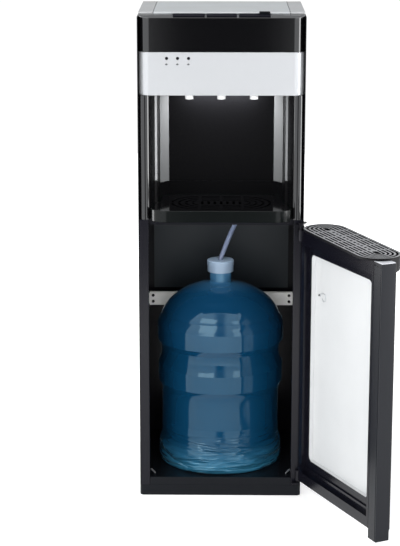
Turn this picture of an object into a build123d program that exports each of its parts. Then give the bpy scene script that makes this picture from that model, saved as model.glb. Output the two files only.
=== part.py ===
"""Bottom load water cooler, built as separate pieces.

Frame: +Z up, +X to the right seen from the front, the front faces -Y.
Origin on the floor, at the middle of the cabinet's 340 x 320 mm footprint.
The door is drawn open; it is built closed and then turned about its hinge pins.
"""
import math
import os

from build123d import *

# ---------------------------------------------------------------- driving dimensions (mm)
W = 340.0            # cabinet width
D = 320.0            # cabinet depth without the condenser
F = -D / 2           # front plane
TOP = 1017.5         # top of the lid
SHEET = 1.7          # side panel thickness
WALL = 2.5           # moulded wall

PLINTH_Z = 22.7      # top of the plinth
SILL_Z = 39.4        # top of the sill at the bay's front
FLOOR_Z = 39.4       # bay floor, level with the sill
DECK_Z = 597.5       # underside of the deck over the bay
DECK_T = 1.5
JAMB_IN = 149.0      # half width of the bay opening

BAND_Z0, BAND_Z1 = 853.2, 940.2
FACE_HALF = 167.3    # half width of the moulded front
CORNER_R = 22.0      # plan radius of the head's front corners
COLUMN_IN = 144.5    # half width between the front columns

NICHE_Z0 = 622.0     # top of the drip tray
TRIM_Z0 = 650.0      # bottom of the bright niche strips
SPOUT_X = (-65.0, 0.0, 66.0)
SPOUT_Y = F + 25.0
LED_X = (-110.0, -88.0, -66.0)
LED_Z = 928.0

BEVEL_Y0, BEVEL_Z0 = F + 0.6, 1008.9     # front edge of the sloped key deck
BEVEL_Y1, BEVEL_Z1 = F + 30.0, 1014.2    # its rear edge, under the lid
BEVEL_A = math.degrees(math.atan2(BEVEL_Z1 - BEVEL_Z0, BEVEL_Y1 - BEVEL_Y0))
KEYS = {"button_left": (-97.4, -33.7), "button_centre": (-29.9, 30.1), "button_right": (35.3, 97.7)}
KEY_TRAVEL = 2.5

HINGE_X, HINGE_Y = 163.0, F - 7.0
DOOR_OPEN = 115.5    # degrees open as drawn
DOOR_L = 328.0       # hinge axis to free edge
POST_W = 31.0        # grip post along the door
DOOR_T = 30.0        # frame thickness
SKIN_T = 1.6
RAIL_Z0, RAIL_Z1 = 37.8, 59.3
HEAD_Z0, HEAD_Z1 = 550.0, 578.7
POST_Z0, POST_Z1 = 18.0, 577.5
LINER_U = (27.0, 275.0)
LINER_Z = (89.0, 533.0)

TRAY_U, TRAY_N = 150.0, 33.0     # centre of the door tray, along and across the door
TRAY_A, TRAY_B = 163.0, 44.5     # half length and half width
TRAY_TURN = -3.5                 # the tray sits slightly turned on the door
TRAY_Z0, TRAY_Z1 = 579.3, 584.5
TRAY_DEEP_Z = 552.0

BOTTLE_X, BOTTLE_Y = -1.0, F + 146.0
BOTTLE_PROFILE = [               # radius, height above the floor
    (60.0, 46.4), (90.0, 45.4), (102.0, 42.6), (108.0, 39.8), (125.0, 39.8), (129.6, 41.0),
    (131.9, 44.5), (132.4, 50.0), (132.3, 76.0), (130.9, 86.0), (125.4, 98.6), (126.0, 105.0),
    (125.7, 196.0), (127.2, 206.0), (130.2, 213.0), (134.0, 219.0), (134.1, 256.0), (128.6, 269.5),
    (126.9, 277.0), (126.9, 290.8), (128.0, 297.8), (131.4, 304.6), (135.2, 310.4), (135.3, 346.0),
    (131.2, 357.0), (126.6, 363.6), (125.0, 366.4), (124.2, 370.4), (121.4, 375.8), (116.8, 382.8),
    (109.0, 391.8), (94.0, 404.7), (78.0, 414.7), (60.0, 422.3), (44.0, 427.0), (31.0, 429.8),
    (25.6, 431.6), (23.3, 435.1), (23.3, 459.6)]
BOTTLE_WALL = 1.8
WATER_Z = 350.0
CAP_R, CAP_Z0, CAP_Z1 = 28.6, 455.2, 480.2
DIP_R = 4.5
DIP_Z1 = 480.2

HOSE_D = 9.6
HOSE_PATH = [(-2.0, -14.7, 478.0), (13.5, -3.5, 519.0), (31.0, 11.0, 556.0), (44.0, 18.6, 575.5),
             (50.0, 20.0, 592.3)]
HOSE_FOOT = 480.4                # the hose stands on the cap
BULK_X, BULK_Y = 50.0, 20.0

NODES = {}


# ---------------------------------------------------------------- helpers
def box(x0, x1, y0, y1, z0, z1):
    return Pos((x0 + x1) / 2, (y0 + y1) / 2, (z0 + z1) / 2) * Box(abs(x1 - x0), abs(y1 - y0), abs(z1 - z0))


def cyl(x, y, z0, z1, r):
    return Pos(x, y, (z0 + z1) / 2) * Cylinder(r, z1 - z0)


def cyl_y(x, z, y0, y1, r):
    return Pos(x, (y0 + y1) / 2, z) * Rot(90, 0, 0) * Cylinder(r, y1 - y0)


def cyl_x(y, z, x0, x1, r):
    return Pos((x0 + x1) / 2, y, z) * Rot(0, 90, 0) * Cylinder(r, x1 - x0)


def ring(x, y, z0, z1, ro, ri):
    return cyl(x, y, z0, z1, ro) - cyl(x, y, z0 - 1, z1 + 1, ri)


def prism(points, z0, z1):
    face = make_face(Polyline(*[(p[0], p[1], 0) for p in points], close=True))
    return Pos(0, 0, z0) * extrude(face, z1 - z0, dir=(0, 0, 1))


def prism_x(points_yz, x0, x1):
    face = make_face(Polyline(*[(x0, p[0], p[1]) for p in points_yz], close=True))
    return extrude(face, x1 - x0, dir=(1, 0, 0))


def mirror_x(shape):
    return mirror(shape, about=Plane.YZ)


def plan(half, y0, y1, r, z0, z1):
    """Rectangle in plan with its two front corners rounded."""
    body = box(-half, half, y0, y1, z0, z1)
    if r > 0:
        front = body.edges().filter_by(Axis.Z).group_by(Axis.Y)[0]
        body = fillet(front, r)
    return body


def rounded(x0, x1, y0, y1, z0, z1, r, axis=Axis.Z):
    body = box(x0, x1, y0, y1, z0, z1)
    return fillet(body.edges().filter_by(axis), r)


def stadium(a, b, z0, z1):
    """Racetrack solid about the origin, half length a along X, half width b."""
    return box(-(a - b), a - b, -b, b, z0, z1) + cyl(-(a - b), 0, z0, z1, b) + cyl(a - b, 0, z0, z1, b)


def add(name, shape):
    NODES[name] = shape


def group(name, shapes):
    NODES[name] = Compound(children=list(shapes))


# ---------------------------------------------------------------- base
def make_base():
    plinth = box(-W / 2, W / 2, F, 156.8, 0, PLINTH_Z)
    plinth = fillet(plinth.edges().filter_by(Axis.Z).group_by(Axis.Y)[0], 9.0)
    plinth = chamfer(plinth.edges().group_by(Axis.Z)[-1].filter_by(lambda e: e.center().Y < 150 and e.center().Y < F + 9), 1.0)
    upper = box(-166.8, 166.8, F + 21.0, 156.8, PLINTH_Z - 1, FLOOR_Z)
    sill = box(-JAMB_IN + 0.3, JAMB_IN - 0.3, F + 1.5, F + 22.0, PLINTH_Z - 1, SILL_Z)
    sill = chamfer(sill.edges().filter_by(Axis.X).group_by(Axis.Z)[-1], 1.0)
    body = plinth + upper + sill
    hollow = box(-160, 160, F + 12, 148, -1, 33)
    ribs = (box(-2.5, 2.5, F + 12, 148, 2, 33) + box(-160, 160, -8.5, -3.5, 2, 33)
            + box(-82.5, -77.5, F + 12, 148, 2, 33) + box(77.5, 82.5, F + 12, 148, 2, 33))
    body = body - (hollow - ribs)
    for x in (-138, 138):
        for y in (F + 34, 126):
            body = body + (cyl(x, y, 12, 33.5, 13) - cyl(x, y, 11, 30, 4.2))
    for s in (-1, 1):
        # short diagonal guides at the front corners of the bay floor
        rib = prism([(s * 149.5, F + 48.0), (s * 147.2, F + 49.6), (s * 137.8, F + 23.9), (s * 140.0, F + 22.2)],
                    FLOOR_Z - 0.5, FLOOR_Z + 2.4)
        body = body + rib
    add("base_tray", body)
    feet = []
    for x in (-138, 138):
        for y in (F + 34, 126):
            foot = cyl(x, y, 0, 9, 17)
            foot = fillet(foot.edges().filter_by(GeomType.CIRCLE), 1.2) + cyl(x, y, 8.5, 27, 4.0)
            feet.append(foot)
    group("levelling_feet", feet)


# ---------------------------------------------------------------- steel shell
def make_shell():
    prof = [(F + 0.8, PLINTH_Z), (158.2, PLINTH_Z), (158.2, 1002.5), (118.0, 1010.5), (F + 5.0, 1010.5),
            (F + 2.0, 1009.0), (F + 0.8, 1005.5)]
    right = prism_x(prof, W / 2 - 0.5 - SHEET, W / 2 - 0.5)
    right = fillet(right.edges().filter_by(Axis.Z).group_by(Axis.Y)[0].sort_by(Axis.X)[-1], 1.4)
    slots = [box(160, 175, 62, 118, 640 + 13 * i, 644 + 13 * i) for i in range(9)]
    for s in slots:
        right = right - s
    add("side_panel_right", right)
    add("side_panel_left", mirror_x(right))

    jamb = box(JAMB_IN, 167.6, F, F + 20, PLINTH_Z, 597.3) - box(JAMB_IN + 1.6, 166.0, F + 1.6, F + 21, 0, 700)
    jamb = fillet(jamb.edges().filter_by(Axis.Z).group_by(Axis.Y)[0].sort_by(Axis.X)[0], 1.0)
    group("door_jambs", [jamb, mirror_x(jamb)])

    back = box(-167.6, 167.6, 157.0, 158.2, 6.0, 1001.0)
    for col in (-1, 1):
        for i in range(10):
            back = back - box(col * 90 - 45, col * 90 + 45, 150, 165, 880 + 10 * i, 884 + 10 * i)
        for i in range(8):
            back = back - box(col * 90 - 45, col * 90 + 45, 150, 165, 655 + 10 * i, 659 + 10 * i)
    back = back - box(-141.0, -59.0, 150, 165, 781.5, 798.5)      # switch window
    back = back - box(92.0, 170.0, 150, 165, 745.0, 785.0)        # notch for the inlet's plate
    for x in (-128.0, 128.0):
        for z in (430.0, 710.0):
            back = back + cyl_y(x, z, 158.0, 167.6, 4.0)           # condenser stand-offs
    add("rear_panel", back)

    add("bay_back_panel", box(-JAMB_IN, JAMB_IN, 138.0, 139.5, 379.5, DECK_Z))
    bar = (box(-159, 159, 128.0, 129.6, 341.6, 370.9) + box(-159, 159, 129.6, 137.0, 341.6, 343.1)
           + box(-159, 159, 129.6, 137.0, 369.4, 370.9))
    for s in (-1, 1):
        bar = bar + box(*sorted((s * 144.0, s * 167.8)), 129.6, 131.0, 344.0, 368.5)
        for z in (350.0, 363.8):
            bar = bar - cyl_y(s * 151.5, z, 120, 140, 2.25)
    add("cross_bar", bar)

    deck = box(-167.6, 167.6, F + 21, 157.0, DECK_Z, DECK_Z + DECK_T) + box(-148.5, 148.5, F + 21, F + 22.5, 583.0, DECK_Z + 0.5)
    deck = deck - cyl(BULK_X, BULK_Y, 590, 605, 11.2)
    for s in (-1, 1):
        deck = deck - cyl_y(s * 136.5, 590.0, F + 10, F + 30, 2.0)
    add("mid_deck", deck)

    screws = []
    for s in (-1, 1):
        for z in (350.0, 363.8):
            head = cyl_y(s * 151.5, z, 126.2, 128.0, 3.3)
            screws.append(head + cyl_y(s * 151.5, z, 127.5, 134.0, 2.2))
        screws.append(cyl_y(s * 136.5, 590.0, F + 19.4, F + 21.0, 3.4) + cyl_y(s * 136.5, 590.0, F + 20.5, F + 27.0, 1.95))
    group("bay_screws", screws)

    hinge_low = (box(151, 168.5, F - 14, F, 30.0, 33.0) + box(151, 168.5, F - 1.8, F, PLINTH_Z + 0.3, 30.5)
                 + cyl(HINGE_X, HINGE_Y, 32.0, 56.0, 3.0))
    # upper plate: its ear passes round the corner of the cabinet to a flange outside the side panel
    ear = prism([(151.0, F - 14), (167.6, F - 14), (168.4, F - 9.0), (168.9, F - 5.0), (170.3, F - 0.5), (171.4, F + 4.0),
                 (173.6, F + 10.0), (176.4, F + 15.0), (176.4, F + 19.0), (169.6, F + 19.0), (169.6, F), (151.0, F)], 588.0, 591.0)
    hinge_up = (ear + box(169.6, 170.8, F + 1.5, F + 14.0, 552.0, 588.5) + box(151, 168.5, F - 1.8, F, 566.0, 588.5)
                + cyl(HINGE_X, HINGE_Y, 562.0, 589.0, 3.0) + cyl(HINGE_X, HINGE_Y, 590.5, 593.5, 6.0))
    group("hinge_brackets", [hinge_low, hinge_up])


# ---------------------------------------------------------------- niche
NICHE = [(144.5, F + 12.0), (137.5, F + 58.0), (132.4, F + 62.0), (129.8, F + 130.0), (111.0, F + 153.0)]
NICHE_OUT = [(146.9, F + 12.0), (139.9, F + 59.2), (134.8, F + 63.4), (132.2, F + 131.2), (112.2, F + 155.4)]
NICHE_LOW = [(144.5, F + 12.0), (137.5, F + 58.0), (132.4, F + 62.0), (128.6, F + 128.0), (109.8, F + 150.2)]
TRAY_PLAN = [(143.6, F + 9.6), (136.7, F + 56.4), (131.4, F + 61.2), (127.6, F + 127.2), (109.2, F + 149.2)]


def sym(points):
    return points + [(-x, y) for x, y in reversed(points)]


def make_niche():
    outer = box(COLUMN_IN, FACE_HALF, F, F + 20.4, DECK_Z + 0.2, BAND_Z0)
    outer = fillet(outer.edges().filter_by(Axis.Z).group_by(Axis.Y)[0].sort_by(Axis.X)[-1], 12.0)
    outer = fillet(outer.edges().filter_by(Axis.Z).group_by(Axis.Y)[0].sort_by(Axis.X)[0], 10.0)
    inner = box(COLUMN_IN + 2.5, FACE_HALF - 2.5, F + 2.5, F + 25, 500, 900)
    inner = fillet(inner.edges().filter_by(Axis.Z).group_by(Axis.Y)[0].sort_by(Axis.X)[-1], 9.5)
    inner = fillet(inner.edges().filter_by(Axis.Z).group_by(Axis.Y)[0].sort_by(Axis.X)[0], 7.5)
    col = outer - inner
    # the inner wall stops where the niche moulding starts
    col = col - box(143.0, COLUMN_IN + 2.5, F + 11.9, F + 30, 500, 900)
    group("front_columns", [col, mirror_x(col)])

    shell = prism(sym(NICHE_OUT), DECK_Z + DECK_T, 858.2)
    shell = shell - prism(sym([(144.5, F + 10.0)] + NICHE), TRIM_Z0, 856.0)
    shell = shell - prism(sym([(144.5, F + 10.0)] + NICHE_LOW), DECK_Z + DECK_T + 2.2, TRIM_Z0 + 0.01)
    for x in SPOUT_X:
        shell = shell - cyl(x, SPOUT_Y, 850, 862, 8.8)
    add("alcove_liner", shell)

    # bright strips on the splayed walls and on the small steps in front of them
    strips = []
    dx, dy = NICHE[4][0] - NICHE[3][0], NICHE[4][1] - NICHE[3][1]
    ln = math.hypot(dx, dy)
    dx, dy = dx / ln, dy / ln
    nx, ny = -dy, dx            # towards the middle of the niche
    if nx > 0:
        nx, ny = -nx, -ny
    a = (NICHE[3][0] + 0.8 * dx, NICHE[3][1] + 0.8 * dy)
    b = (NICHE[4][0] - 0.6 * dx, NICHE[4][1] - 0.6 * dy)
    splay = prism([a, b, (b[0] + nx * 0.9, b[1] + ny * 0.9), (a[0] + nx * 0.9, a[1] + ny * 0.9)], TRIM_Z0 + 0.4, 855.6)
    dx2, dy2 = NICHE[2][0] - NICHE[1][0], NICHE[2][1] - NICHE[1][1]
    l2 = math.hypot(dx2, dy2)
    dx2, dy2 = dx2 / l2, dy2 / l2
    mx, my = -dy2, dx2
    if my > 0:
        mx, my = -mx, -my
    c = (NICHE[1][0] + 0.5 * dx2, NICHE[1][1] + 0.5 * dy2)
    d = (NICHE[2][0] - 0.3 * dx2, NICHE[2][1] - 0.3 * dy2)
    step = prism([c, d, (d[0] + mx * 0.8, d[1] + my * 0.8), (c[0] + mx * 0.8, c[1] + my * 0.8)], 668.0, 855.6)
    strips = [splay, step, mirror_x(splay), mirror_x(step)]
    group("alcove_trims", strips)

    # drip tray: basin with a rounded front lip, and its lift-out grille
    tray = prism(sym(TRAY_PLAN), DECK_Z + DECK_T + 2.6, NICHE_Z0)
    arc = []
    for i in range(0, 13):
        t = math.radians(90 * i / 12)
        arc.append((109.6 + 34.0 * math.sin(t), F - 1.0 - 29.0 * math.cos(t)))
    front_plan = arc + [(143.6, F + 9.7)]
    lip = prism(sym(front_plan), DECK_Z + 0.6, NICHE_Z0)
    for level in (-1, 0):
        lip = chamfer([e for e in lip.edges().group_by(Axis.Z)[level] if e.center().Y < F + 9.0], 0.7)
    tray = lip + tray
    inner_arc = []
    for i in range(0, 13):
        t = math.radians(90 * i / 12)
        inner_arc.append((109.6 + 31.0 * math.sin(t), F - 1.0 - 26.0 * math.cos(t)))
    inner_pts = inner_arc + [(140.6, F + 8.0), (134.0, F + 55.0), (128.4, F + 60.0), (124.8, F + 126.0), (108.0, F + 146.4)]
    tray = tray - prism(sym(inner_pts), 618.6, 640)
    ledge = [(x * 0.978, y + (1.6 if y < F else -1.6)) for x, y in inner_pts]
    tray = tray - prism(sym(ledge), 604.4, 640)
    add("drip_tray", tray)

    grille_pts = [(x - 0.5 if x > 1 else x, y + (0.5 if y < F else -0.5)) for x, y in inner_pts]
    grille = prism(sym(grille_pts), 618.7, 621.2)
    # racetrack slots, ring inside ring, with bridges, and short middle slots
    cy = F + 60.0
    for k, (a2, b2) in enumerate(((104.0, 70.0), (90.0, 56.0), (76.0, 42.0), (62.0, 28.0))):
        band = Pos(0, cy, 0) * (stadium(a2, b2, 610, 630) - stadium(a2 - 5.0, b2 - 5.0, 609, 631))
        for bx in (-1, 0, 1):
            band = band - box(bx * 44 - 3, bx * 44 + 3, cy - 90, cy + 90, 600, 640)
        band = band - box(-120, 120, cy - 3, cy + 3, 600, 640)
        grille = grille - band
    for i in range(-3, 4):
        grille = grille - rounded(i * 13 - 2.6, i * 13 + 2.6, cy - 15, cy + 15, 610, 630, 2.5)
    add("drip_grille", grille)


# ---------------------------------------------------------------- head
def make_head():
    band = plan(FACE_HALF, F, F + 45, CORNER_R, BAND_Z0, BAND_Z1)
    band = chamfer(band.edges().group_by(Axis.Z)[-1], 0.8)
    band = chamfer(band.edges().group_by(Axis.Z)[0], 0.8)
    band = band - plan(FACE_HALF - WALL, F + WALL, F + 50, CORNER_R - WALL, BAND_Z0 - 1, BAND_Z1 + 1)
    band = band + box(-150, 150, F + 2.0, F + 11.8, BAND_Z0 + 0.2, BAND_Z0 + 2.4)
    for x in LED_X:
        band = band - cyl_y(x, LED_Z, F - 5, F + 10, 3.25)
    add("control_band", band)
    group("led_lenses", [fillet(cyl_y(x, LED_Z, F - 0.3, F + 3.4, 3.2).edges().filter_by(GeomType.CIRCLE).group_by(Axis.Y)[0], 0.25)
                         for x in LED_X])

    def fascia_solid(half, y0, r, lift):
        s = plan(half, y0, F + 45, r, BAND_Z1 + 0.3, 1030)
        # sloped key deck, level behind the lid's front edge
        cut = prism_x([(F - 10, BEVEL_Z0 + lift - 10.6 * math.tan(math.radians(BEVEL_A))),
                       (BEVEL_Y1, BEVEL_Z1 + lift), (F + 60, BEVEL_Z1 + lift), (F + 60, 1050), (F - 10, 1050)], -200, 200)
        return s - cut
    fas = fascia_solid(FACE_HALF - 0.3, F + 0.6, CORNER_R, 0.0)
    rim = [e for e in fas.edges() if e.center().Z > 1005 and e.center().Y < F + 26 and e.center().Z < BEVEL_Z0 + 4.2
           and (abs(e.center().Y - (F + 0.6)) < 1.0)]
    fas = fillet(rim, 1.2)
    inner = fascia_solid(FACE_HALF - 0.3 - WALL, F + 0.6 + WALL, CORNER_R - WALL, -WALL)
    inner = inner + plan(FACE_HALF - 0.3 - WALL, F + 0.6 + WALL, F + 45, CORNER_R - WALL, BAND_Z1 - 5, BAND_Z1 + 10)
    inner = inner + box(-FACE_HALF + 3, FACE_HALF - 3, F + 30, F + 60, BAND_Z1 - 5, BEVEL_Z1 - WALL)
    fas = fas - inner
    fas = fas - box(-99.5, 100.0, F + 4.2, F + 28.0, 990, 1030)
    for s in (-1, 1):
        # rails under the lid's seams
        x0, x1 = sorted((s * 132.0, s * 143.5))
        fas = fas + box(x0, x1, F + 42.0, 100.0, TOP - 7.5, TOP - 3.6)
    add("upper_fascia", fas)

    # everything on the key deck is drawn level at the slope's front edge and tipped with it
    tip = Pos(0, BEVEL_Y0, BEVEL_Z0) * Rot(BEVEL_A, 0, 0)
    frame = box(-99.3, 99.8, 3.75, 27.4, -2.6, -0.6)
    for x0, x1 in KEYS.values():
        frame = frame - box(x0 - 0.7, x1 + 0.7, 5.0, 26.4, -5, 5)
    add("button_bezel", tip * frame)

    springs = []
    plate = box(-104, 104, F + 8, F + 27, 992.0, 993.6)
    switches = []
    for name, (x0, x1) in KEYS.items():
        xm = (x0 + x1) / 2
        key = box(x0, x1, 5.9, 25.5, -3.6, 1.8)
        key = fillet(key.edges().filter_by(Axis.Z), 1.2)
        key = chamfer(key.edges().group_by(Axis.Z)[-1], 0.5)
        key = tip * key
        zk = BEVEL_Z0 + math.tan(math.radians(BEVEL_A)) * 15.0 - 3.0
        key = key + cyl(xm, F + 16.0, 989.4, zk, 3.0)
        if name == "button_right":
            # track for the child lock
            slot = tip * box(70.3, 99.5, 19.6, 25.0, -0.2, 4)
            key = key - slot
        add(name, key)
        plate = plate - cyl(xm, F + 16.0, 980, 1000, 3.4)
        springs.append(ring(xm, F + 16.0, 993.6, 1001.6, 5.2, 4.2))
        switches.append(box(xm - 10, xm + 10, F + 12.5, F + 19.5, 972.0, 986.0))
        plate = plate + box(xm - 11.5, xm - 10, F + 12.5, F + 19.5, 972.0, 992.5) + box(xm + 10, xm + 11.5, F + 12.5, F + 19.5, 972.0, 992.5)
    plate = plate + box(-104, 104, F + 3.1, F + 8.5, 992.0, 993.6)
    group("button_springs", springs)
    group("switch_plate", [plate] + switches)
    lock = box(75.4, 97.2, 19.9, 24.7, -0.1, 7.0)
    lock = fillet(lock.edges().group_by(Axis.Z)[-1], 1.2)
    add("child_lock", tip * lock)

    lid = [(F + 30.0, TOP - 3.2), (F + 30.0, TOP - 1.0), (F + 31.0, TOP), (105.0, TOP), (135.0, TOP - 2.6), (160.0, TOP - 8.0),
           (160.0, TOP - 14.0), (158.4, TOP - 14.0), (158.4, TOP - 10.6), (134.0, TOP - 5.6), (104.6, TOP - 3.2)]
    add("top_cover", prism_x(lid, -137.3, 137.3))
    right = prism_x(lid, 138.6, 167.8)
    group("top_trims", [right, mirror_x(right)])

    spouts = []
    for x in SPOUT_X:
        s = cyl(x, SPOUT_Y, 843.0, 858.3, 8.5)
        s = fillet(s.edges().filter_by(GeomType.CIRCLE).group_by(Axis.Z)[0], 0.5)
        s = s + cyl(x, SPOUT_Y, 858.2, 861.0, 11.5) + cyl(x, SPOUT_Y, 860.5, 892.0, 6.0)
        s = s - cyl(x, SPOUT_Y, 840, 900, 3.6)
        spouts.append(s)
    group("spouts", spouts)


# ---------------------------------------------------------------- machinery
def tube(path, radii, r, bore=0.0):
    line = FilletPolyline(*path, radius=radii)
    start = Plane(origin=line @ 0, z_dir=line % 0)
    section = start * Circle(r)
    if bore:
        section = section - start * Circle(bore)
    return sweep(section, path=line)


def make_machinery():
    cold = (-76.0, 80.0)
    hot = (82.0, 80.0)
    add("tank_shelf", box(-167.6, 167.6, 2.0, 156.8, 848.0, 849.6))
    body = cyl(*cold, 852.4, 974.0, 58.0)
    body = fillet(body.edges().filter_by(GeomType.CIRCLE), 10.0)
    for x in (-65.0, -35.0):
        body = body + cyl_y(x, 925.0, 12.0, 60.0, 5.0)
    body = body - cyl(*cold, 854.0, 972.4, 56.2)
    add("cold_tank", body)
    rings = [Pos(cold[0], cold[1], 872.0 + 10.0 * i) * Torus(61.4, 3.0) for i in range(4)]
    rings += [Pos(cold[0], cold[1], 940.0 + 10.0 * i) * Torus(61.4, 3.0) for i in range(2)]
    group("evaporator_coil", rings)
    foam = cyl(*cold, 849.6, 984.0, 76.0) - cyl(*cold, 852.4, 978.0, 65.0)
    foam = foam - box(-80.0, -25.0, -10.0, 60.0, 915.0, 935.0)
    add("cold_tank_foam", foam)
    body = cyl(*hot, 849.6, 968.0, 46.0)
    body = fillet(body.edges().filter_by(GeomType.CIRCLE), 9.0)
    body = body + cyl_y(66.0, 925.0, 12.0, 60.0, 5.0) + box(70, 94, 30.0, 36.5, 860, 890)
    body = body - cyl(*hot, 852.0, 966.0, 44.5)
    add("hot_tank", body)
    tubes = []
    zt = 925.0
    for x in (SPOUT_X[0], SPOUT_X[2]):
        tubes.append(tube([(x, SPOUT_Y, 892.0), (x, SPOUT_Y, zt), (x, 12.0, zt)], 16.0, 5.0, 3.4))
    x = SPOUT_X[1]
    tubes.append(tube([(x, SPOUT_Y, 892.0), (x, SPOUT_Y, zt), (x, -70.0, zt), (-35.0, -25.0, zt), (-35.0, 12.0, zt)], [16.0, 18.0, 18.0], 5.0, 3.4))
    group("spout_tubes", tubes)

    cx, cy = 88.0, 88.0
    comp = cyl(cx, cy, 612.0, 700.0, 52.0) + cyl(cx, cy, 654.0, 660.0, 54.5)
    comp = fillet(comp.edges().filter_by(GeomType.CIRCLE).group_by(Axis.Z)[-1], 22.0)
    comp = comp + box(cx - 62, cx + 62, cy - 52, cy + 52, 609.0, 612.0) + box(cx - 20, cx + 20, cy - 62, cy - 48, 640, 680)
    pads = []
    for sx in (-1, 1):
        for sy in (-1, 1):
            px, py = cx + sx * 52, cy + sy * 44
            comp = comp - cyl(px, py, 600, 620, 4.0)
            pads.append(cyl(px, py, DECK_Z + DECK_T, 609.0, 9.0) + cyl(px, py, 608.5, 616.0, 3.9))
    add("compressor", comp)
    group("compressor_pads", pads)
    pump = box(-92, -48, 38, 82, DECK_Z + DECK_T, 640.0) + cyl(-70, 60, 639.5, 668.0, 18.0) + cyl_x(60, 625.0, -48.5, -40.0, 5.0)
    pump = fillet(pump.edges().filter_by(GeomType.CIRCLE).group_by(Axis.Z)[-1], 3.0)
    add("water_pump", pump)
    add("feed_tube", tube([(BULK_X, BULK_Y, 615.0), (BULK_X, BULK_Y, 632.0), (24.0, BULK_Y, 632.0), (-8.0, 60.0, 625.0), (-40.0, 60.0, 625.0)],
                          [8.0, 14.0, 14.0], 4.8, 3.4))
    bulk = cyl(BULK_X, BULK_Y, 594.0, 597.5, 13.5) + cyl(BULK_X, BULK_Y, 597.0, 599.5, 10.9) + cyl(BULK_X, BULK_Y, 599.0, 604.0, 13.5) + cyl(BULK_X, BULK_Y, 603.5, 615.0, 5.0)
    add("hose_bulkhead", bulk)

    board = box(-40, 60, 148.0, 149.6, 690.0, 790.0)
    for (x0, x1, z0, z1, h) in ((-30, 0, 700, 730, 18), (10, 30, 700, 716, 14), (36, 52, 705, 735, 22), (-30, -12, 745, 775, 12), (0, 44, 750, 770, 10)):
        board = board + box(x0, x1, 149.0 - h, 148.5, z0, z1)
    for x in (-34, 54):
        for z in (696, 784):
            board = board + cyl_y(x, z, 149.0, 157.0, 3.0)
    add("control_board", board)

    pts = []
    zs = [405 + 27.0 * i for i in range(13)]
    for i, z in enumerate(zs):
        xs = (-140.0, 140.0) if i % 2 == 0 else (140.0, -140.0)
        pts += [(xs[0], 170.2, z), (xs[1], 170.2, z)]
    coil = tube(pts, 12.0, 2.4)
    wires = [cyl(-130.0 + 13.0 * i, 173.4, 395.0, 739.0, 0.8) for i in range(21)]
    group("condenser_coil", [coil] + wires)

    sw = box(-143.0, -57.0, 158.2, 160.4, 779.0, 801.0) - box(-140.2, -59.8, 150, 165, 782.2, 797.8)
    sw = sw + box(-114.6, -113.0, 154.4, 160.4, 782.0, 798.0) + box(-87.0, -85.4, 154.4, 160.4, 782.0, 798.0)
    sw = fillet(sw.edges().filter_by(Axis.Y).group_by(Axis.X)[0], 2.0)
    add("switch_frame", sw)
    for name, x0, x1 in (("rocker_hot", -139.2, -115.6), ("rocker_cold", -112.0, -88.0), ("rocker_light", -84.4, -60.8)):
        prof = [(155.0, 784.6), (160.6, 783.6), (159.6, 790.0), (161.8, 796.2), (155.0, 795.4)]
        rocker = prism_x(prof, x0, x1) + cyl_x(157.2, 790.0, x0 - 0.45, x1 + 0.45, 2.6)
        add(name, rocker)
    inlet = box(89.0, 167.5, 158.2, 160.2, 742.0, 788.0) + box(96.5, 123.5, 140.0, 158.6, 755.5, 774.5)
    inlet = inlet - rounded(99.0, 121.0, 143.0, 170.0, 758.0, 772.0, 2.0, Axis.Y)
    for x in (103.0, 110.0, 117.0):
        inlet = inlet + box(x - 1, x + 1, 142.0, 157.0, 763.0, 767.0)
    add("power_inlet", inlet)


# ---------------------------------------------------------------- door (built closed, then turned)
def door_box(u0, u1, n0, n1, z0, z1):
    return box(HINGE_X - u1, HINGE_X - u0, HINGE_Y - n1, HINGE_Y - n0, z0, z1)


def door_round(u0, u1, n0, n1, z0, z1, r):
    return fillet(door_box(u0, u1, n0, n1, z0, z1).edges().filter_by(Axis.Y), r)


def swing(shape):
    return shape.rotate(Axis((HINGE_X, HINGE_Y, 0), (0, 0, 1)), DOOR_OPEN)


def door_tray_place(shape):
    """Put a solid drawn about the origin (X along the door) at the tray's place on the closed door."""
    return Pos(HINGE_X - TRAY_U, HINGE_Y - TRAY_N, 0) * Rot(0, 0, TRAY_TURN) * shape


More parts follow.
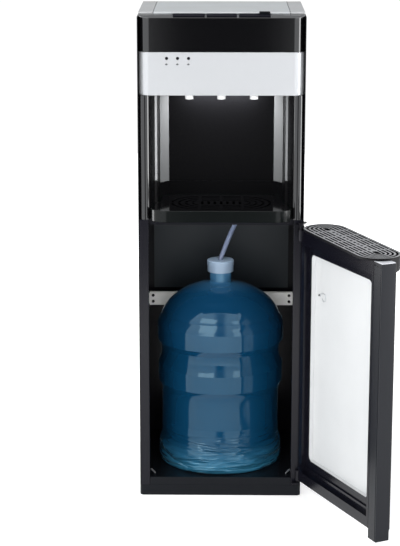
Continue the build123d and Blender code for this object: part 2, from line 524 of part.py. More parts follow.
def make_door():
    u1 = DOOR_L - POST_W
    frame = door_box(1.0, u1, 0, DOOR_T, RAIL_Z0, HEAD_Z1)
    frame = frame - door_box(17.0, u1 - 7.0, -5, DOOR_T + 5, RAIL_Z1, HEAD_Z0)
    # hollow rails, open towards the skin
    frame = frame - door_box(4.0, u1 - 3.0, WALL, DOOR_T + 5, RAIL_Z0 + WALL, RAIL_Z1 - WALL)
    frame = frame - door_box(4.0, u1 - 3.0, WALL, DOOR_T + 5, HEAD_Z0 + WALL, HEAD_Z1 - WALL)
    frame = frame - door_box(4.0, 17.0 - WALL, WALL, DOOR_T + 5, RAIL_Z1 + 2, HEAD_Z0 - 2)
    # inset panel frame round the liner
    inset = door_box(16.0, u1 - 6.0, 10.0, 12.4, RAIL_Z1 - 1, HEAD_Z0 + 1)
    inset = inset - door_round(LINER_U[0], LINER_U[1], 5, 20, LINER_Z[0], LINER_Z[1], 12.0)
    # raised ledge under the liner and a bead above it
    inset = inset + door_box(20.0, u1 - 8.0, 6.5, 10.5, 70.0, 74.0)
    frame = frame + inset
    knuckle = cyl(HINGE_X, HINGE_Y, RAIL_Z0, HEAD_Z1, 5.0) - cyl(HINGE_X, HINGE_Y, 60.0, 556.0, 8.0)
    frame = frame + knuckle
    frame = frame - cyl(HINGE_X, HINGE_Y, RAIL_Z0 - 2, 58.0, 3.06) - cyl(HINGE_X, HINGE_Y, 560.0, HEAD_Z1 + 2, 3.06)
    add("door_frame", swing(frame))

    liner = door_box(20.0, u1 - 9.0, 12.4, 14.4, 64.0, 546.0)
    liner = liner + door_round(LINER_U[0] - 3, LINER_U[1] + 3, 12.4, 23.0, LINER_Z[0] - 3, LINER_Z[1] + 3, 14.0)
    pocket = door_round(LINER_U[0] + 0.5, LINER_U[1] - 0.5, 10.0, 21.0, LINER_Z[0] + 0.5, LINER_Z[1] - 0.5, 11.5)
    liner = liner - pocket
    add("door_liner", swing(liner))

    skin = door_box(-6.3, DOOR_L, DOOR_T, DOOR_T + SKIN_T, 40.0, 578.7) + door_box(-6.3, -4.5, 15.5, DOOR_T + SKIN_T, 40.0, 578.7)
    add("door_skin", swing(skin))

    post = door_box(u1, DOOR_L, 0, DOOR_T, POST_Z0, POST_Z1) - door_box(u1 + 2, DOOR_L - 2, 2, DOOR_T - 2, POST_Z0 + 2, POST_Z1 - 3)
    corner = [e for e in post.edges().filter_by(Axis.Z) if abs(e.center().X - (HINGE_X - DOOR_L)) < 0.01 and abs(e.center().Y - HINGE_Y) < 0.01]
    post = fillet(corner, 1.2)
    seam = [e for e in post.edges().filter_by(Axis.Z) if abs(e.center().X - (HINGE_X - u1)) < 0.01 and abs(e.center().Y - HINGE_Y) < 0.01]
    post = chamfer(seam, 1.3)
    # a fine groove beside the free corner and a shallow notch near the top
    post = post - door_box(323.2, 325.0, -1, 1.0, POST_Z0 - 1, POST_Z1 + 1) - door_box(301.0, 318.0, -1, 1.0, 570.0, 572.6)
    add("door_post", swing(post))
    add("post_cap", swing(door_box(u1 + 0.2, DOOR_L - 0.2, 0.2, DOOR_T - 0.2, POST_Z1, POST_Z1 + 1.4)))
    # the magnet that holds the door shut lies inside the post
    add("door_magnet", swing(door_box(306.0, 318.0, 2.0, 6.0, 470.0, 510.0)))

    # drip tray on the door's top: a thin racetrack rim, deeper where it stands out past the skin
    tray = stadium(TRAY_A, TRAY_B, TRAY_Z0, TRAY_Z1)
    deep = stadium(TRAY_A - 1.2, TRAY_B - 1.2, TRAY_DEEP_Z, TRAY_Z0 + 0.5)
    deep = fillet(deep.edges().group_by(Axis.Z)[0], 5.0)
    tray = door_tray_place(tray + deep)
    tray = tray - door_box(-60, 400, -60, DOOR_T + SKIN_T + 0.6, 500, TRAY_Z0)
    well = door_tray_place(stadium(TRAY_A - 3.0, TRAY_B - 3.0, TRAY_Z1 - 3.0, 600))
    low = door_tray_place(stadium(TRAY_A - 5.0, TRAY_B - 5.0, TRAY_DEEP_Z + 2.4, 600)) - door_box(-60, 400, -60, DOOR_T + SKIN_T + 4.5, 500, 600)
    tray = tray - well - low
    add("door_tray", swing(tray))

    g = stadium(TRAY_A - 3.4, TRAY_B - 3.4, TRAY_Z1 - 2.9, TRAY_Z1 - 0.4)
    for b2 in (39.4, 30.6, 21.8, 13.0):
        a2 = TRAY_A - TRAY_B + b2
        slot = stadium(a2, b2, 570, 600) - stadium(a2 - 4.8, b2 - 4.8, 569, 601)
        for i in range(-2, 3):
            slot = slot - box(i * 46 - 2.2, i * 46 + 2.2, -60, 60, 560, 610)
        g = g - slot
    for s in (-1, 1):
        g = g - Pos(s * 112, 0, 0) * stadium(12.5, 5.6, 570, 600)
    for i in range(-5, 6):
        g = g - rounded(i * 16 - 5, i * 16 + 5, -2.6, 2.6, 570, 600, 1.5)
    add("door_tray_grille", swing(door_tray_place(g)))


# ---------------------------------------------------------------- bottle
def lathe(points):
    face = make_face(Polyline(*[(r, 0, z) for r, z in points], close=True))
    return Pos(BOTTLE_X, BOTTLE_Y, 0) * revolve(face, Axis.Z, 360)


def inset_profile(t):
    """The bottle's profile moved inwards by t along its normals."""
    pts = BOTTLE_PROFILE
    out = []
    for i, (r, z) in enumerate(pts):
        r0, z0 = pts[max(i - 1, 0)]
        r1, z1 = pts[min(i + 1, len(pts) - 1)]
        dr, dz = r1 - r0, z1 - z0
        ln = math.hypot(dr, dz)
        out.append((r - t * dz / ln, z + t * dr / ln))
    return out


def at_height(points, z):
    """Radius of the profile's upper wall at height z."""
    for (r0, z0), (r1, z1) in zip(points, points[1:]):
        if z0 <= z <= z1 and r0 > 90:
            return r0 + (r1 - r0) * (z - z0) / (z1 - z0)
    return 130.0


def make_bottle():
    outer = [(0.0, 46.6)] + BOTTLE_PROFILE + [(21.0, 459.6)]
    inn = inset_profile(BOTTLE_WALL)
    inn = [p for p in inn if p[1] < 453.6]
    shell = outer + [(21.0, inn[-1][1] + 3.0)] + list(reversed(inn)) + [(0.0, 46.6 + BOTTLE_WALL)]
    add("bottle", lathe(shell))
    wet = [p for p in inset_profile(BOTTLE_WALL + 0.15) if p[1] < WATER_Z]
    r_top = at_height(inset_profile(BOTTLE_WALL + 0.15), WATER_Z)
    fill = [(0.0, 46.6 + BOTTLE_WALL + 0.15)] + wet + [(r_top, WATER_Z), (0.0, WATER_Z)]
    water = lathe(fill) - cyl(BOTTLE_X, BOTTLE_Y, 57.5, 400, DIP_R + 0.1)
    add("water", water)
    cap = cyl(BOTTLE_X, BOTTLE_Y, CAP_Z1 - 11.0, CAP_Z1, CAP_R)
    cap = fillet(cap.edges().filter_by(GeomType.CIRCLE).group_by(Axis.Z)[-1], 2.4)
    cap = cap + cyl(BOTTLE_X, BOTTLE_Y, CAP_Z0, CAP_Z1 - 10.0, CAP_R - 0.9)
    cap = cap - cyl(BOTTLE_X, BOTTLE_Y, CAP_Z0 - 1, 459.6, 23.5) - cyl(BOTTLE_X, BOTTLE_Y, 459.1, 475.6, 20.0)
    cap = cap - cyl(BOTTLE_X, BOTTLE_Y, 460, 490, DIP_R + 0.05)
    add("bottle_cap", cap)
    dip = cyl(BOTTLE_X, BOTTLE_Y, 58.0, DIP_Z1, DIP_R) - cyl(BOTTLE_X, BOTTLE_Y, 57.0, DIP_Z1 - 3.0, 3.0)
    add("dip_tube", dip)

    # hose: straight runs joined by arcs as large as the runs allow
    pts = [Vector(*p) for p in HOSE_PATH]
    radii = []
    for a, b, c in zip(pts, pts[1:], pts[2:]):
        turn = (b - a).get_angle(c - b)
        short = min((b - a).length, (c - b).length)
        radii.append(0.45 * short / math.tan(math.radians(turn / 2)))
    print("hose radii", [round(r, 1) for r in radii], "runs", [round((b - a).length, 1) for a, b in zip(pts, pts[1:])])
    line = FilletPolyline(*HOSE_PATH, radius=radii)
    start = Plane(origin=line @ 0, z_dir=line % 0)
    hose = sweep(start * Circle(HOSE_D / 2), path=line)
    print("hose length", round(line.length, 1), "volume", round(hose.volume), "section x length", round(math.pi * HOSE_D ** 2 / 4 * line.length))
    add("bottle_hose", hose - box(-20, 20, -40, 10, 460, HOSE_FOOT))


def main():
    os.makedirs("parts", exist_ok=True)
    make_base()
    make_shell()
    make_niche()
    make_head()
    make_machinery()
    make_door()
    make_bottle()
    for name, shape in NODES.items():
        export_step(shape, f"parts/{name}.step")
    print(len(NODES), "nodes")


main()
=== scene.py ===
import math

import bmesh
import bpy
from mathutils import Matrix, Vector


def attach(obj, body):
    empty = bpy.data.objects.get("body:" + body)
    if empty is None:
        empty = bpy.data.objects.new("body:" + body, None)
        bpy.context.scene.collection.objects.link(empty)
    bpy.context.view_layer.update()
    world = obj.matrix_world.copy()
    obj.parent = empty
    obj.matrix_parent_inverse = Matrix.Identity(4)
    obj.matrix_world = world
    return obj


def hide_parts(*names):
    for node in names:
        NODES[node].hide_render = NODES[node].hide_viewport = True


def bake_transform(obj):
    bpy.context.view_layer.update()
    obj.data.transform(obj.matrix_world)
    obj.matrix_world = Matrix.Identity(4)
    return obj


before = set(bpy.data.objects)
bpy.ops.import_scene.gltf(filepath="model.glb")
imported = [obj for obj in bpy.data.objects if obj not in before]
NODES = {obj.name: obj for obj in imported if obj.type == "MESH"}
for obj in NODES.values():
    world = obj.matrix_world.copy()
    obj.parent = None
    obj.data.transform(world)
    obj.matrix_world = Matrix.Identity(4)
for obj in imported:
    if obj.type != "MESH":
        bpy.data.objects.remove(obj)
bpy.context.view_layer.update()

# ---------------------------------------------------------------- camera
cam_data = bpy.data.cameras.new("camera")
cam = bpy.data.objects.new("camera", cam_data)
bpy.context.scene.collection.objects.link(cam)
cam.location = (0.00724, -3.75704, 1.37019)
cam.rotation_euler = (math.radians(90.0 - 13.823), 0.0, math.radians(0.814))
cam_data.sensor_width = 36.0
cam_data.lens = 118.533
cam_data.shift_x = 0.00078
cam_data.shift_y = 0.00062
cam_data.clip_start, cam_data.clip_end = 0.05, 60.0
bpy.context.scene.camera = cam

scene = bpy.context.scene
scene.view_settings.view_transform = "Standard"
scene.view_settings.look = "None"
scene.view_settings.exposure = 0.0
scene.view_settings.gamma = 1.0


# ---------------------------------------------------------------- materials
def new_mat(name):
    m = bpy.data.materials.new(name)
    m.use_nodes = True
    nt = m.node_tree
    return m, nt, nt.nodes["Principled BSDF"]


def coords(nt, scale=(1, 1, 1)):
    tc = nt.nodes.new("ShaderNodeTexCoord")
    mp = nt.nodes.new("ShaderNodeMapping")
    mp.inputs["Scale"].default_value = scale
    nt.links.new(tc.outputs["Object"], mp.inputs["Vector"])
    return mp.outputs["Vector"]


def surface(name, color, rough, metallic=0.0, coat=0.0, coat_rough=0.1, grain=900.0, bump=0.03, vary=0.06,
            wave=None, specular=0.5, stretch=(1, 1, 1), mottling=0.0, ior=1.45, bump_distance=0.0004):
    """A moulded, painted or metal finish: fine noise in the roughness and the relief, and a broad faint unevenness in
    the colour where mottling is set.
    """
    m, nt, b = new_mat(name)
    b.inputs["Metallic"].default_value = metallic
    b.inputs["IOR"].default_value = ior
    b.inputs["Specular IOR Level"].default_value = specular
    b.inputs["Coat Weight"].default_value = coat
    b.inputs["Coat Roughness"].default_value = coat_rough
    vec = coords(nt, stretch)
    n1 = nt.nodes.new("ShaderNodeTexNoise")
    n1.inputs["Scale"].default_value = grain
    n1.inputs["Detail"].default_value = 3.0
    nt.links.new(vec, n1.inputs["Vector"])
    mr = nt.nodes.new("ShaderNodeMapRange")
    mr.inputs["From Min"].default_value = 0.3
    mr.inputs["From Max"].default_value = 0.7
    mr.inputs["To Min"].default_value = max(0.0, rough - vary)
    mr.inputs["To Max"].default_value = min(1.0, rough + vary)
    nt.links.new(n1.outputs["Fac"], mr.inputs["Value"])
    nt.links.new(mr.outputs["Result"], b.inputs["Roughness"])
    if mottling > 0:
        n2 = nt.nodes.new("ShaderNodeTexNoise")
        n2.inputs["Scale"].default_value = 14.0
        n2.inputs["Detail"].default_value = 4.0
        nt.links.new(vec, n2.inputs["Vector"])
        ramp = nt.nodes.new("ShaderNodeValToRGB")
        lo = [max(0.0, c * (1 - mottling)) for c in color[:3]] + [1]
        hi = [min(1.0, c * (1 + mottling)) for c in color[:3]] + [1]
        ramp.color_ramp.elements[0].position = 0.35
        ramp.color_ramp.elements[0].color = lo
        ramp.color_ramp.elements[1].position = 0.65
        ramp.color_ramp.elements[1].color = hi
        nt.links.new(n2.outputs["Fac"], ramp.inputs["Fac"])
        nt.links.new(ramp.outputs["Color"], b.inputs["Base Color"])
    else:
        b.inputs["Base Color"].default_value = (*color[:3], 1)
    if bump > 0:
        bp = nt.nodes.new("ShaderNodeBump")
        bp.inputs["Strength"].default_value = bump
        bp.inputs["Distance"].default_value = bump_distance
        nt.links.new(n1.outputs["Fac"], bp.inputs["Height"])
        nt.links.new(bp.outputs["Normal"], b.inputs["Normal"])
    return m


def clear(name, color, rough, transmission, alpha=1.0, ior=1.4, wave=0.0, emission=None, sheen=None):
    m, nt, b = new_mat(name)
    b.inputs["Base Color"].default_value = (*color, 1)
    b.inputs["Roughness"].default_value = rough
    b.inputs["Transmission Weight"].default_value = transmission
    b.inputs["Alpha"].default_value = alpha
    b.inputs["IOR"].default_value = ior
    if sheen:
        b.inputs["Sheen Tint"].default_value = (*sheen[0], 1)
        b.inputs["Sheen Weight"].default_value = sheen[1]
        b.inputs["Sheen Roughness"].default_value = sheen[2]
    if emission:
        b.inputs["Emission Color"].default_value = (*emission[0], 1)
        b.inputs["Emission Strength"].default_value = emission[1]
    vec = coords(nt)
    n1 = nt.nodes.new("ShaderNodeTexNoise")
    n1.inputs["Scale"].default_value = 9.0
    n1.inputs["Detail"].default_value = 2.0
    nt.links.new(vec, n1.inputs["Vector"])
    bp = nt.nodes.new("ShaderNodeBump")
    bp.inputs["Strength"].default_value = max(wave, 0.02)
    bp.inputs["Distance"].default_value = 0.004
    nt.links.new(n1.outputs["Fac"], bp.inputs["Height"])
    nt.links.new(bp.outputs["Normal"], b.inputs["Normal"])
    return m


M = {}
M["black_paint"] = surface("black_paint", (0.004, 0.004, 0.006), 0.22, grain=2200, bump=0.01, vary=0.03, specular=0.16)
M["dark_sheet"] = surface("dark_sheet", (0.010, 0.013, 0.016), 0.40, grain=2200, bump=0.02, specular=0.28)
M["jamb_paint"] = surface("jamb_paint", (0.005, 0.005, 0.008), 0.22, grain=2000, bump=0.01, vary=0.03, specular=0.22)
M["zinc"] = surface("zinc", (0.86, 0.86, 0.84), 0.42, metallic=0.05, grain=300, bump=0.05, mottling=0.06, vary=0.1)
M["black_mould"] = surface("black_mould", (0.005, 0.006, 0.008), 0.24, grain=1600, bump=0.01, vary=0.03, specular=0.14)
M["door_mould"] = surface("door_mould", (0.004, 0.004, 0.007), 0.20, grain=1800, bump=0.004, vary=0.02, specular=0.26)
M["gloss_black"] = surface("gloss_black", (0.003, 0.003, 0.0035), 0.10, coat=0.4, coat_rough=0.04, grain=500, bump=0.006, vary=0.02)
M["post_mould"] = surface("post_mould", (0.006, 0.007, 0.010), 0.22, grain=1800, bump=0.004, vary=0.02, specular=0.24)
M["tray_black"] = surface("tray_black", (0.003, 0.003, 0.004), 0.45, specular=0.12, grain=900, bump=0.01)
# dark grey bezel: the grey partly paints the top light's reflection on the upward-facing slope
M["bezel_grey_painted_reflection"] = surface("bezel_grey_painted_reflection", (0.075, 0.078, 0.085), 0.34, grain=2000, bump=0.02, specular=0.3)
M["tray_gloss"] = surface("tray_gloss", (0.003, 0.004, 0.004), 0.16, grain=700, bump=0.01, vary=0.02, specular=0.20)
M["rib_grey"] = surface("rib_grey", (0.30, 0.31, 0.32), 0.4, grain=1500, bump=0.02)
M["key_black"] = surface("key_black", (0.005, 0.005, 0.008), 0.6, specular=0.02, grain=1500, bump=0.02)
M["niche_black"] = surface("niche_black", (0.0035, 0.0035, 0.004), 0.28, grain=600, bump=0.006, vary=0.03, specular=0.05)
M["silver"] = surface("silver", (0.435, 0.445, 0.46), 0.30, metallic=0.3, coat=0.1, grain=2600, bump=0.02, vary=0.05)
M["satin_trim"] = surface("satin_trim", (0.20, 0.205, 0.21), 0.34, metallic=0.3, grain=1500, bump=0.02)
M["lid"] = surface("lid", (0.47, 0.49, 0.50), 0.34, metallic=0.15, grain=2400, bump=0.05, mottling=0.03)
M["trim_grey"] = surface("trim_grey", (0.42, 0.425, 0.43), 0.34, metallic=0.15, grain=2400, bump=0.05, mottling=0.03)
M["white"] = surface("white", (0.88, 0.885, 0.89), 0.35, grain=1200, bump=0.02)
M["liner_white"] = surface("liner_white", (0.545, 0.555, 0.56), 0.42, grain=900, bump=0.02, mottling=0.015)
M["led"] = surface("led", (0.006, 0.006, 0.008), 0.15, grain=900, bump=0.01)
M["grille_metal"] = surface("grille_metal", (0.36, 0.365, 0.375), 0.36, metallic=0.5, grain=1500, bump=0.02)
M["cap_grey"] = surface("cap_grey", (0.55, 0.56, 0.60), 0.35, grain=1500, bump=0.02)
M["foam"] = surface("foam", (0.78, 0.74, 0.62), 0.85, grain=160, bump=0.5, mottling=0.1, bump_distance=0.002)
M["stainless"] = surface("stainless", (0.62, 0.62, 0.63), 0.28, metallic=1.0, grain=500, bump=0.03, stretch=(1, 1, 40))
M["copper"] = surface("copper", (0.72, 0.36, 0.20), 0.3, metallic=1.0, grain=400, bump=0.03)
M["rubber"] = surface("rubber", (0.018, 0.018, 0.019), 0.75, grain=700, bump=0.15)
M["board"] = surface("board", (0.02, 0.16, 0.07), 0.4, grain=500, bump=0.05, mottling=0.1)
M["red"] = surface("red", (0.45, 0.02, 0.015), 0.3, grain=900, bump=0.02)
M["blue"] = surface("blue", (0.02, 0.08, 0.42), 0.3, grain=900, bump=0.02)
M["green"] = surface("green", (0.02, 0.30, 0.08), 0.3, grain=900, bump=0.02)
M["steel"] = surface("steel", (0.55, 0.55, 0.56), 0.3, metallic=1.0, grain=700, bump=0.03)
M["silicone"] = clear("silicone", (0.85, 0.87, 0.9), 0.25, 0.5, ior=1.41)
M["hose"] = clear("hose", (0.13, 0.16, 0.24), 0.12, 0.25, ior=1.41, sheen=((0.6, 0.68, 0.85), 0.4, 0.3))


def bottle_look():
    """Blue polycarbonate: deep in the middle, paler at the neck, and paler at the base as painted light from the bright
    floor shining up through it, with flow marks in the base.
    """
    m, nt, b = new_mat("bottle")
    tc = nt.nodes.new("ShaderNodeTexCoord")
    sp = nt.nodes.new("ShaderNodeSeparateXYZ")
    nt.links.new(tc.outputs["Object"], sp.inputs["Vector"])
    ramp = nt.nodes.new("ShaderNodeValToRGB")
    hz = nt.nodes.new("ShaderNodeMapRange")
    hz.inputs["From Max"].default_value = 0.5
    nt.links.new(sp.outputs["Z"], hz.inputs["Value"])
    nt.links.new(hz.outputs["Result"], ramp.inputs["Fac"])
    # the pale stops at the base paint the bright floor's light coming up through the base; the deep middle and paler
    # neck stops give the blue by height
    stops = [(0.07, (0.035, 0.190, 0.31)), (0.14, (0.022, 0.120, 0.22)), (0.20, (0.004, 0.050, 0.116)), (0.60, (0.003, 0.043, 0.104)),
             (0.72, (0.005, 0.048, 0.116)), (0.84, (0.005, 0.050, 0.120)), (0.93, (0.08, 0.22, 0.38))]
    el = ramp.color_ramp.elements
    el[0].position, el[0].color = stops[0][0], (*stops[0][1], 1)
    el[1].position, el[1].color = stops[-1][0], (*stops[-1][1], 1)
    for pos, col in stops[1:-1]:
        e = el.new(pos)
        e.color = (*col, 1)
    nt.links.new(ramp.outputs["Color"], b.inputs["Base Color"])
    # flow marks: a stretched noise whose middle value raises thin ridges in the base
    mp = nt.nodes.new("ShaderNodeMapping")
    mp.inputs["Scale"].default_value = (0.5, 0.5, 3.4)
    nt.links.new(tc.outputs["Object"], mp.inputs["Vector"])
    nz = nt.nodes.new("ShaderNodeTexNoise")
    nz.inputs["Scale"].default_value = 22.0
    nz.inputs["Detail"].default_value = 0.8
    nz.inputs["Distortion"].default_value = 0.9
    nt.links.new(mp.outputs["Vector"], nz.inputs["Vector"])
    where = nt.nodes.new("ShaderNodeMapRange")
    for k, v in zip(("From Min", "From Max", "To Min", "To Max"), (0.135, 0.07, 0.0, 1.0)):
        where.inputs[k].default_value = v
    nt.links.new(sp.outputs["Z"], where.inputs["Value"])
    ridge = nt.nodes.new("ShaderNodeMath")
    ridge.operation = "MULTIPLY"
    nt.links.new(nz.outputs["Fac"], ridge.inputs[0])
    nt.links.new(where.outputs["Result"], ridge.inputs[1])
    rb = nt.nodes.new("ShaderNodeBump")
    rb.inputs["Strength"].default_value = 0.8
    rb.inputs["Distance"].default_value = 0.030
    nt.links.new(ridge.outputs["Value"], rb.inputs["Height"])
    b.inputs["Roughness"].default_value = 0.05
    b.inputs["IOR"].default_value = 1.5
    b.inputs["Transmission Weight"].default_value = 0.30
    b.inputs["Specular IOR Level"].default_value = 0.38
    b.inputs["Specular Tint"].default_value = (0.6, 0.9, 1.0, 1)
    b.inputs["Sheen Weight"].default_value = 0.10
    b.inputs["Sheen Roughness"].default_value = 0.18
    b.inputs["Sheen Tint"].default_value = (0.35, 0.65, 0.85, 1)
    n1 = nt.nodes.new("ShaderNodeTexNoise")
    n1.inputs["Scale"].default_value = 9.0
    n1.inputs["Detail"].default_value = 2.0
    nt.links.new(tc.outputs["Object"], n1.inputs["Vector"])
    bp = nt.nodes.new("ShaderNodeBump")
    bp.inputs["Strength"].default_value = 0.22
    bp.inputs["Distance"].default_value = 0.004
    nt.links.new(n1.outputs["Fac"], bp.inputs["Height"])
    nt.links.new(rb.outputs["Normal"], bp.inputs["Normal"])
    nt.links.new(bp.outputs["Normal"], b.inputs["Normal"])
    return m


M["bottle"] = bottle_look()
M["water"] = clear("water", (0.02, 0.14, 0.27), 0.05, 0.6, ior=1.05)
M["cap_white"] = surface("cap_white", (0.175, 0.235, 0.31), 0.35, grain=1200, bump=0.02)
M["dip"] = clear("dip", (0.4, 0.5, 0.6), 0.3, 0.3)
M["hook_grey"] = surface("hook_grey", (0.40, 0.42, 0.43), 0.4, grain=900, bump=0.02)
M["grey_mark"] = surface("grey_mark", (0.08, 0.085, 0.09), 0.5, grain=900, bump=0.02)

LOOK = dict(
    base_tray="black_mould", levelling_feet="rubber", side_panel_left="black_paint", side_panel_right="black_paint",
    door_jambs="jamb_paint", rear_panel="black_paint", bay_back_panel="dark_sheet", cross_bar="zinc", bay_screws="led",
    mid_deck="jamb_paint", hinge_brackets="black_paint", front_columns="gloss_black", alcove_liner="niche_black", alcove_trims="satin_trim",
    drip_tray="tray_gloss", drip_grille="gloss_black", control_band="silver", led_lenses="led", upper_fascia="gloss_black",
    button_bezel="bezel_grey_painted_reflection", button_left="key_black", button_centre="key_black", button_right="key_black", child_lock="black_mould",
    button_springs="steel", switch_plate="white", top_cover="lid", top_trims="trim_grey", spouts="white",
    spout_tubes="silicone", tank_shelf="zinc", cold_tank="stainless", evaporator_coil="copper", cold_tank_foam="foam", hot_tank="stainless",
    compressor="black_paint", compressor_pads="rubber", water_pump="white", feed_tube="silicone", hose_bulkhead="white",
    control_board="board", condenser_coil="black_paint", switch_frame="black_mould", rocker_hot="red", rocker_cold="blue", rocker_light="green",
    power_inlet="black_mould", door_frame="door_mould", door_liner="liner_white", door_skin="gloss_black", door_post="post_mould",
    post_cap="cap_grey", door_magnet="rubber", door_tray="tray_black", door_tray_grille="tray_black",
    bottle="bottle", water="water", bottle_cap="cap_white", dip_tube="dip", bottle_hose="hose")


def paint(obj, name):
    obj.data.materials.clear()
    obj.data.materials.append(M[name])


def paint_faces(obj, name, pick):
    """Give the faces that pick(centre in metres, normal) accepts a second finish."""
    obj.data.materials.append(M[name])
    k = len(obj.data.materials) - 1
    w = obj.matrix_world
    for p in obj.data.polygons:
        if pick(w @ p.center, p.normal):
            p.material_index = k


for node, look in LOOK.items():
    o = NODES[node]
    paint(o, look)
    for p in o.data.polygons:
        p.use_smooth = True
    weld = o.modifiers.new("weld", "WELD")
    weld.merge_threshold = 1e-6
    split = o.modifiers.new("split", "EDGE_SPLIT")
    split.split_angle = math.radians(18 if node == "bottle" else 32)

# light diagonal ribs on the black bay floor
paint_faces(NODES["base_tray"], "rib_grey", lambda c, n: c.z > 0.0408 and c.y > -0.139 and abs(c.x) > 0.136)

# the door grille and the tray's rim are black mouldings with a bright metal top face
paint_faces(NODES["door_tray_grille"], "grille_metal", lambda c, n: n.z > 0.7)
paint_faces(NODES["door_tray"], "grille_metal", lambda c, n: n.z > 0.7 and c.z > 0.5840)

# ---------------------------------------------------------------- hose
ROUTE = [(-2.0, -14.7, 478.0), (13.5, -3.5, 519.0), (31.0, 11.0, 556.0), (44.0, 18.6, 575.5), (50.0, 20.0, 592.3)]
cu = bpy.data.curves.new("hose_line", "CURVE")
cu.dimensions = "3D"
sp = cu.splines.new("NURBS")
sp.points.add(len(ROUTE) - 1)
for p, q in zip(sp.points, ROUTE):
    p.co = (q[0] / 1000, q[1] / 1000, q[2] / 1000, 1)
sp.order_u = 3
sp.use_endpoint_u = True
sp.resolution_u = 16
line = bpy.data.objects.new("hose_line", cu)
scene.collection.objects.link(line)
bpy.context.view_layer.update()
dg = bpy.context.evaluated_depsgraph_get()
tmp = bpy.data.meshes.new_from_object(line.evaluated_get(dg))
centre = [v.co.copy() for v in tmp.vertices]
bpy.data.objects.remove(line)


def tube_mesh(name, points, radius, segments=20, inner=0.0):
    """A round tube along points, with its ends closed."""
    bm = bmesh.new()
    rings = []
    t0 = (points[1] - points[0]).normalized()
    side = t0.orthogonal().normalized()
    for i, p in enumerate(points):
        a = points[max(i - 1, 0)]
        b = points[min(i + 1, len(points) - 1)]
        t = (b - a).normalized()
        side = (side - t * side.dot(t)).normalized()
        up = t.cross(side)
        rings.append([bm.verts.new(p + (side * math.cos(k) + up * math.sin(k)) * radius)
                      for k in (2 * math.pi * j / segments for j in range(segments))])
    for r0, r1 in zip(rings, rings[1:]):
        for j in range(segments):
            f = bm.faces.new((r0[j], r0[(j + 1) % segments], r1[(j + 1) % segments], r1[j]))
            f.smooth = True
    bm.faces.new(list(reversed(rings[0])))
    bm.faces.new(rings[-1])
    bmesh.ops.recalc_face_normals(bm, faces=bm.faces)
    me = bpy.data.meshes.new(name)
    bm.to_mesh(me)
    bm.free()
    ob = bpy.data.objects.new(name, me)
    scene.collection.objects.link(ob)
    return ob


hose = tube_mesh("hose", centre, 0.0048)
paint(hose, "hose")
length = sum((b - a).length for a, b in zip(centre, centre[1:]))
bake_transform(hose)
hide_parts("bottle_hose")

# ---------------------------------------------------------------- small marks and mouldings
def solid(name, verts, faces, look, body):
    me = bpy.data.meshes.new(name)
    me.from_pydata(verts, [], faces)
    me.update()
    ob = bpy.data.objects.new(name, me)
    scene.collection.objects.link(ob)
    paint(ob, look)
    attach(ob, body)
    return ob


def disc(name, x, y, z, rx, rz, thick, look, body, n=16):
    """A flat oval facing -Y."""
    ring0 = [(x + rx * math.cos(2 * math.pi * k / n), y, z + rz * math.sin(2 * math.pi * k / n)) for k in range(n)]
    ring1 = [(a, b - thick, c) for a, b, c in ring0]
    faces = [tuple(range(n))[::-1], tuple(range(n, 2 * n))]
    faces += [(k, (k + 1) % n, n + (k + 1) % n, n + k) for k in range(n)]
    verts = [tuple(v / 1000 for v in p) for p in ring0 + ring1]
    return solid(name, verts, faces, look, body)


for i, x in enumerate((-110.0, -88.0, -66.0)):
    disc(f"mark_{i}", x - 0.4, -159.98, 916.0, 2.7, 2.0, 0.05, "grey_mark", "cabinet")

# a moulded hook on the door's liner
HINGE = Vector((0.163, -0.167, 0.0))
OPEN = math.radians(115.5)
U = Vector((-math.cos(OPEN), -math.sin(OPEN), 0.0))
N = Vector((math.sin(OPEN), -math.cos(OPEN), 0.0))
hook_path = [(50.5, 448.0), (52.6, 453.0), (60.0, 456.6), (68.6, 455.6), (72.2, 450.0), (71.6, 443.6), (64.4, 440.4), (59.0, 445.0)]
hook_line = [HINGE + U * (u / 1000) + N * 0.0204 + Vector((0, 0, z / 1000)) for u, z in hook_path]
smooth = []
for i in range(len(hook_line) - 1):
    p0, p1 = hook_line[max(i - 1, 0)], hook_line[i]
    p2, p3 = hook_line[i + 1], hook_line[min(i + 2, len(hook_line) - 1)]
    for k in range(6):
        t = k / 6
        smooth.append(0.5 * ((2 * p1) + (p2 - p0) * t + (2 * p0 - 5 * p1 + 4 * p2 - p3) * t * t + (3 * p1 - p0 - 3 * p2 + p3) * t ** 3))
smooth.append(hook_line[-1])
hook = tube_mesh("liner_hook", smooth, 0.0011, segments=10)
paint(hook, "hook_grey")
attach(hook, "door")
peg_at = HINGE + U * 0.0466 + N * 0.0205 + Vector((0, 0, 0.4498))
peg = tube_mesh("liner_peg", [peg_at + N * 0.0005, peg_at - N * 0.0015], 0.0019, segments=14)
paint(peg, "rubber")
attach(peg, "door")

# ---------------------------------------------------------------- studio
floor_mesh = bpy.data.meshes.new("floor")
floor_mesh.from_pydata([(-4, -1.9, 0), (4, -1.9, 0), (4, 4, 0), (-4, 4, 0)], [], [(0, 1, 2, 3)])
floor = bpy.data.objects.new("floor", floor_mesh)
scene.collection.objects.link(floor)
fm, fnt, fb = new_mat("floor_white_painted_glow")
fb.inputs["Base Color"].default_value = (0.93, 0.93, 0.93, 1)
fb.inputs["Roughness"].default_value = 0.9
fb.inputs["Specular IOR Level"].default_value = 0.0
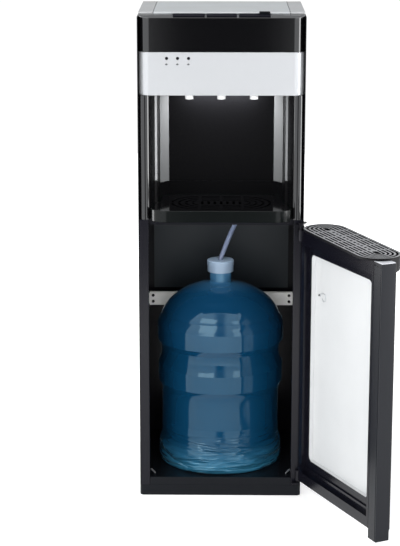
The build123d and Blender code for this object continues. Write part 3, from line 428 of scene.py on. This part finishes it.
# the floor glows as painted light: faint close to the object, which is painted shade around it, and full further out
fb.inputs["Emission Color"].default_value = (1, 1, 1, 1)
ftc = fnt.nodes.new("ShaderNodeTexCoord")
fln = fnt.nodes.new("ShaderNodeVectorMath")
fln.operation = "LENGTH"
fnt.links.new(ftc.outputs["Object"], fln.inputs[0])
fmr = fnt.nodes.new("ShaderNodeMapRange")
for k, v in zip(("From Min", "From Max", "To Min", "To Max"), (0.25, 1.3, 0.35, 1.0)):
    fmr.inputs[k].default_value = v
fnt.links.new(fln.outputs["Value"], fmr.inputs["Value"])
fnt.links.new(fmr.outputs["Result"], fb.inputs["Emission Strength"])
floor.data.materials.append(fm)

world = bpy.data.worlds.new("world")
scene.world = world
world.use_nodes = True
wn = world.node_tree
wn.nodes.clear()
out = wn.nodes.new("ShaderNodeOutputWorld")
lp = wn.nodes.new("ShaderNodeLightPath")
tc = wn.nodes.new("ShaderNodeTexCoord")
sep = wn.nodes.new("ShaderNodeSeparateXYZ")
wn.links.new(tc.outputs["Generated"], sep.inputs["Vector"])
# what the gloss sees: dark in front and below, brighter to the sides, above and behind
def ranged(source, f0, f1, t0, t1):
    r = wn.nodes.new("ShaderNodeMapRange")
    r.interpolation_type = "SMOOTHSTEP"
    for k, v in zip(("From Min", "From Max", "To Min", "To Max"), (f0, f1, t0, t1)):
        r.inputs[k].default_value = v
    wn.links.new(source, r.inputs["Value"])
    return r.outputs["Result"]


def maths(op, a, b=None):
    n = wn.nodes.new("ShaderNodeMath")
    n.operation = op
    wn.links.new(a, n.inputs[0])
    if b is not None:
        wn.links.new(b, n.inputs[1])
    return n.outputs["Value"]


side = ranged(maths("ABSOLUTE", sep.outputs["X"]), 0.05, 0.22, 0.0, 2.0)
high = ranged(sep.outputs["Z"], -0.05, 0.8, 0.0, 0.75)
back = ranged(sep.outputs["Y"], 0.0, 0.6, 1.0, 0.4)
glow = maths("ADD", maths("MULTIPLY", side, back), high)
low = ranged(sep.outputs["Z"], -0.6, -0.2, 0.3, 1.0)
gl = wn.nodes.new("ShaderNodeBackground")
gl.inputs["Color"].default_value = (0.95, 0.97, 1.0, 1)
wn.links.new(maths("MULTIPLY", glow, low), gl.inputs["Strength"])
df = wn.nodes.new("ShaderNodeBackground")
df.inputs["Color"].default_value = (0.97, 0.985, 1.0, 1)
df.inputs["Strength"].default_value = 0.62
wh = wn.nodes.new("ShaderNodeBackground")
wh.inputs["Color"].default_value = (1, 1, 1, 1)
wh.inputs["Strength"].default_value = 1.05
m1 = wn.nodes.new("ShaderNodeMixShader")
wn.links.new(lp.outputs["Is Glossy Ray"], m1.inputs["Fac"])
wn.links.new(df.outputs["Background"], m1.inputs[1])
wn.links.new(gl.outputs["Background"], m1.inputs[2])
m2 = wn.nodes.new("ShaderNodeMixShader")
wn.links.new(lp.outputs["Is Camera Ray"], m2.inputs["Fac"])
wn.links.new(m1.outputs["Shader"], m2.inputs[1])
wn.links.new(wh.outputs["Background"], m2.inputs[2])
wn.links.new(m2.outputs["Shader"], out.inputs["Surface"])


def soft_box(name, loc, target, size, power, color=(1, 1, 1)):
    d = bpy.data.lights.new(name, "AREA")
    d.shape = "RECTANGLE"
    d.size, d.size_y = size
    d.energy = power
    d.color = color
    o = bpy.data.objects.new(name, d)
    scene.collection.objects.link(o)
    o.location = loc
    o.rotation_euler = (Vector(target) - Vector(loc)).to_track_quat("-Z", "Y").to_euler()
    o.visible_camera = False
    return o


soft_box("key", (-1.3, -2.6, 2.5), (0, 0, 0.6), (1.8, 1.8), 36)
soft_box("fill", (1.9, -2.4, 2.0), (0.1, 0, 0.5), (1.5, 1.5), 16)
soft_box("top", (0.0, 0.2, 3.0), (0, 0, 0), (2.5, 2.5), 30)
for strip in (soft_box("strip_left", (-2.1, 0.62, 1.0), (0, 0, 1.0), (1.1, 2.6), 72),
              soft_box("strip_right", (1.95, -0.75, 1.0), (0, 0, 1.0), (1.1, 2.6), 72)):
    strip.visible_diffuse = False
soft_box("side_fill", (-2.4, -0.4, 1.1), (0, 0, 0.9), (1.0, 1.6), 14)

niche_light = soft_box("niche_light", (0.0, -0.026, 0.852), (0, -0.015, 0.80), (0.15, 0.02), 1.0)
niche_light.visible_glossy = False
bay_light = soft_box("bay_light", (-0.02, -0.10, 0.575), (-0.001, -0.014, 0.44), (0.12, 0.03), 0.20)
bay_light.visible_glossy = False
bay_fill = soft_box("bay_fill", (0.1, -2.1, 0.50), (0.0, 0.1, 0.42), (0.9, 0.9), 17)
bay_fill.visible_glossy = False
